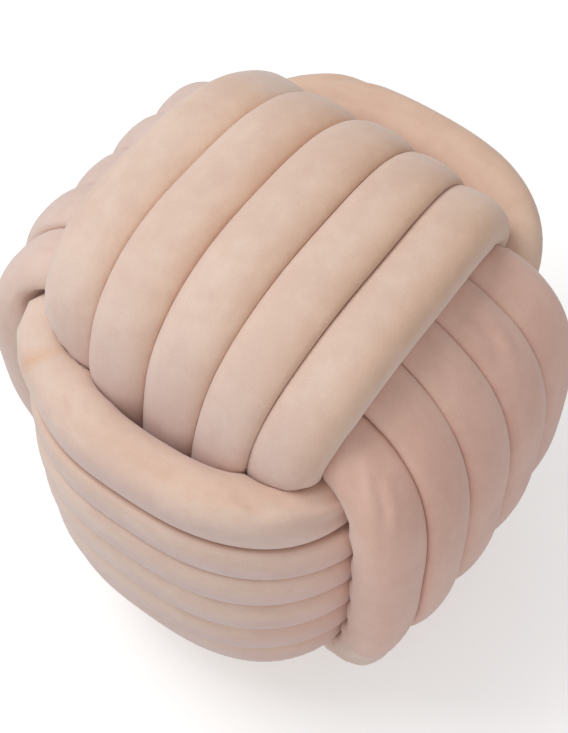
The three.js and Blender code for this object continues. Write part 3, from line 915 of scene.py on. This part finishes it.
class PoufSizes(bpy.types.PropertyGroup):
    strand_width: bpy.props.FloatProperty(
        name="Strand width",
        description="Width of the tube where nothing presses on it",
        default=0.061,
        min=0.05,
        max=0.07,
        unit="LENGTH",
    )
    crown_height: bpy.props.FloatProperty(
        name="Crown height",
        description="From the tube's middle line to the crown of a strand",
        default=0.0233,
        min=0.018,
        max=0.028,
        unit="LENGTH",
    )
    belly_height: bpy.props.FloatProperty(
        name="Belly height",
        description="From the tube's middle line to the round of its inward side",
        default=0.027,
        min=0.018,
        max=0.04,
        unit="LENGTH",
    )
    strand_depth: bpy.props.FloatProperty(
        name="Strand depth",
        description="From the tube's middle line inward, where there is room",
        default=0.07,
        min=0.02,
        max=0.08,
        unit="LENGTH",
    )
    core_diameter: bpy.props.FloatProperty(
        name="Diameter inside the knot",
        description="Diameter of the tube where it crosses the knot's middle",
        default=0.084,
        min=0.03,
        max=0.09,
        unit="LENGTH",
    )
    sinking: bpy.props.FloatProperty(
        name="Sinking of the pile",
        description="How far the piles of two pressed lengths sink into each other",
        default=0.0006,
        min=0,
        max=0.002,
        unit="LENGTH",
    )


class PoufLooks(bpy.types.PropertyGroup):
    velvet_colour: bpy.props.FloatVectorProperty(
        name="Velvet",
        description="Colour of the velvet with its nap lying smooth",
        default=(0.8, 0.62, 0.52),
        min=0,
        max=1,
        subtype="COLOR",
    )
    # Painted light: the lit top faces and lit flanks take this brighter peach colour.
    peach_painted_light: bpy.props.FloatVectorProperty(
        name="Velvet, peach",
        description="Colour of the velvet where its nap lies towards the light",
        default=(0.8, 0.54, 0.39),
        min=0,
        max=1,
        subtype="COLOR",
    )
    # Painted shade: the warm, darker colour of the shaded right face and the flanks turning towards
    # it.
    pink_painted_shade: bpy.props.FloatVectorProperty(
        name="Velvet, pink",
        description="Colour of the velvet where its nap lies across the light",
        default=(0.8, 0.5, 0.41),
        min=0,
        max=1,
        subtype="COLOR",
    )
    # Painted shade: the cooler, greyer colour of the front face and the edges turned from the key
    # light.
    mauve_painted_shade: bpy.props.FloatVectorProperty(
        name="Velvet, mauve",
        description="Colour of the velvet where its nap lies away from the light",
        default=(0.7, 0.54, 0.52),
        min=0,
        max=1,
        subtype="COLOR",
    )
    # Painted sheen: the lighter, greyer colour mixed in where the skin is seen edge on.
    painted_sheen_colour: bpy.props.FloatVectorProperty(
        name="Velvet, edge on",
        description="Colour of the pile seen from the side",
        default=(0.8, 0.71, 0.68),
        min=0,
        max=1,
        subtype="COLOR",
    )
    # Painted shade in the seams between pressed strands.
    seam_shade_colour: bpy.props.FloatVectorProperty(
        name="Velvet in the seams",
        description="Colour of the velvet where two strands press together",
        default=(0.38, 0.19, 0.13),
        min=0,
        max=1,
        subtype="COLOR",
    )
    seam_shade: bpy.props.FloatProperty(
        name="Seam shade",
        description="How much of the seam colour shows between pressed strands",
        default=0.5,
        min=0,
        max=1,
        subtype="FACTOR",
    )
    sheen: bpy.props.FloatProperty(
        name="Sheen",
        description="Strength of the velvet's soft edge light",
        default=0.22,
        min=0,
        max=1,
        subtype="FACTOR",
    )
    floor_colour: bpy.props.FloatVectorProperty(
        name="Floor",
        description="Colour of the plain floor",
        default=(0.86, 0.86, 0.86),
        min=0,
        max=1,
        subtype="COLOR",
    )
    floor_glow: bpy.props.FloatProperty(
        name="Floor brightness",
        description="Extra brightness of the floor as the camera sees it",
        default=0.35,
        min=0,
        max=1,
        subtype="FACTOR",
    )


class POUF_OT_knotted_tube(bpy.types.Operator):
    """Make the knotted velvet tube"""

    bl_idname = "pouf.knotted_tube"
    bl_label = "Knotted tube"

    def execute(self, context):
        given = context.scene.pouf_sizes
        sizes = {
            "half_width": given.strand_width / 2 / MM,
            "crown": given.crown_height / MM,
            "belly": given.belly_height / MM,
            "depth": given.strand_depth / MM,
            "core": given.core_diameter / 2 / MM,
            "sinking": given.sinking / MM,
        }
        line, rings, skin, around, girth = tube_mesh(sizes)
        tips = line["point"][[0, -1]]
        points = np.vstack([skin.reshape(-1, 3), tips])
        middle = (points.min(axis=0) + points.max(axis=0)) / 2
        shift = np.array([-middle[0], -middle[1], -points[:, 2].min()]) * MM
        shift += np.array([(CAD_LOW.x + CAD_HIGH.x) / 2, (CAD_LOW.y + CAD_HIGH.y) / 2, CAD_LOW.z])
        piece = mesh_object("velvet_tube", skin * MM + shift, tips * MM + shift)
        put_uv(piece, rings, around, girth)
        put_attribute(piece, "closeness", np.append(rings["closeness"].ravel(), [1, 1]))
        # The vertex colours carry painted light and shade by face and flank.
        put_colour(piece, "painted_light", velvet_with_painted_light(rings, around, context.scene.pouf_looks))
        bpy.ops.object.select_all(action="DESELECT")
        piece.select_set(True)
        context.view_layer.objects.active = piece
        bpy.ops.object.shade_smooth()
        piece.data.materials.append(velvet_material(context.scene.pouf_looks))
        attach(piece, "root")
        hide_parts(NODE)
        return {"FINISHED"}


class POUF_OT_stage(bpy.types.Operator):
    """Make the floor, the lights and the camera"""

    bl_idname = "pouf.stage"
    bl_label = "Floor, lights and camera"

    def execute(self, context):
        scene = context.scene
        looks = scene.pouf_looks
        bpy.ops.object.select_all(action="DESELECT")
        bpy.ops.mesh.primitive_plane_add(size=8, location=(0, 0, CAD_LOW.z))
        floor = context.object
        floor.name = "floor"
        floor.data.materials.append(floor_material(looks))

        world = bpy.data.worlds.new("soft_daylight")
        scene.world = world
        world.use_nodes = True
        background = world.node_tree.nodes["Background"]
        background.inputs["Color"].default_value = (1, 1, 1, 1)
        background.inputs["Strength"].default_value = 0.5

        soft_light("key_light", (-0.95, -0.45, 2.25), 1.3, 24)
        soft_light("fill_light", (0.9, -1.7, 0.9), 1.4, 4)

        middle = Vector((0, 0, CAD_LOW.z + FLOOR_BELOW_MIDDLE * MM))
        put_camera(scene, middle)
        scene.view_settings.view_transform = "Standard"
        return {"FINISHED"}


LIGHTS_AIM = Vector((0, 0, 0.2))


def soft_light(name, place, size, power):
    bpy.ops.object.light_add(type="AREA", location=place)
    lamp = bpy.context.object
    lamp.name = name
    lamp.data.size = size
    lamp.data.energy = power
    towards = LIGHTS_AIM - Vector(place)
    lamp.rotation_euler = towards.to_track_quat("-Z", "Y").to_euler()


AZIMUTH = 36.4  # degrees from -Y towards +X
ELEVATION = 58.4
ROLL = -0.2
CAMERA_DISTANCE = 1.35  # metres from the knot's middle
SENSOR_WIDTH = 36
LENS = 108.5
CAMERA_SHIFT = (-0.00335, 0.00775)


def put_camera(scene, middle):
    azimuth, elevation, roll = (math.radians(a) for a in (AZIMUTH, ELEVATION, ROLL))
    back = Vector(
        (
            math.sin(azimuth) * math.cos(elevation),
            -math.cos(azimuth) * math.cos(elevation),
            math.sin(elevation),
        )
    )
    right = Vector((math.cos(azimuth), math.sin(azimuth), 0))
    up = back.cross(right)
    right, up = (
        right * math.cos(roll) + up * math.sin(roll),
        up * math.cos(roll) - right * math.sin(roll),
    )
    place = middle + back * CAMERA_DISTANCE
    bpy.ops.object.camera_add(location=place)
    camera = bpy.context.object
    camera.name = "camera"
    turned = Matrix((right, up, back)).transposed().to_4x4()
    camera.matrix_world = Matrix.Translation(place) @ turned
    camera.data.sensor_fit = "HORIZONTAL"
    camera.data.sensor_width = SENSOR_WIDTH
    camera.data.lens = LENS
    camera.data.shift_x, camera.data.shift_y = CAMERA_SHIFT
    scene.camera = camera


class POUF_PT_panel(bpy.types.Panel):
    bl_label = "Braided pouf"
    bl_idname = "POUF_PT_panel"
    bl_space_type = "VIEW_3D"
    bl_region_type = "UI"
    bl_category = "Pouf"

    def draw(self, context):
        layout = self.layout
        for group in (context.scene.pouf_sizes, context.scene.pouf_looks):
            for name in group.__annotations__:
                layout.prop(group, name)
        layout.operator(POUF_OT_knotted_tube.bl_idname)
        layout.operator(POUF_OT_stage.bl_idname)


CLASSES = (PoufSizes, PoufLooks, POUF_OT_knotted_tube, POUF_OT_stage, POUF_PT_panel)


def register():
    for cls in CLASSES:
        bpy.utils.register_class(cls)
    bpy.types.Scene.pouf_sizes = bpy.props.PointerProperty(type=PoufSizes)
    bpy.types.Scene.pouf_looks = bpy.props.PointerProperty(type=PoufLooks)


def unregister():
    del bpy.types.Scene.pouf_looks
    del bpy.types.Scene.pouf_sizes
    for cls in reversed(CLASSES):
        bpy.utils.unregister_class(cls)


def main():
    register()
    bpy.ops.pouf.knotted_tube()
    bpy.ops.pouf.stage()
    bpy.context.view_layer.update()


if __name__ == "__main__":
    main()
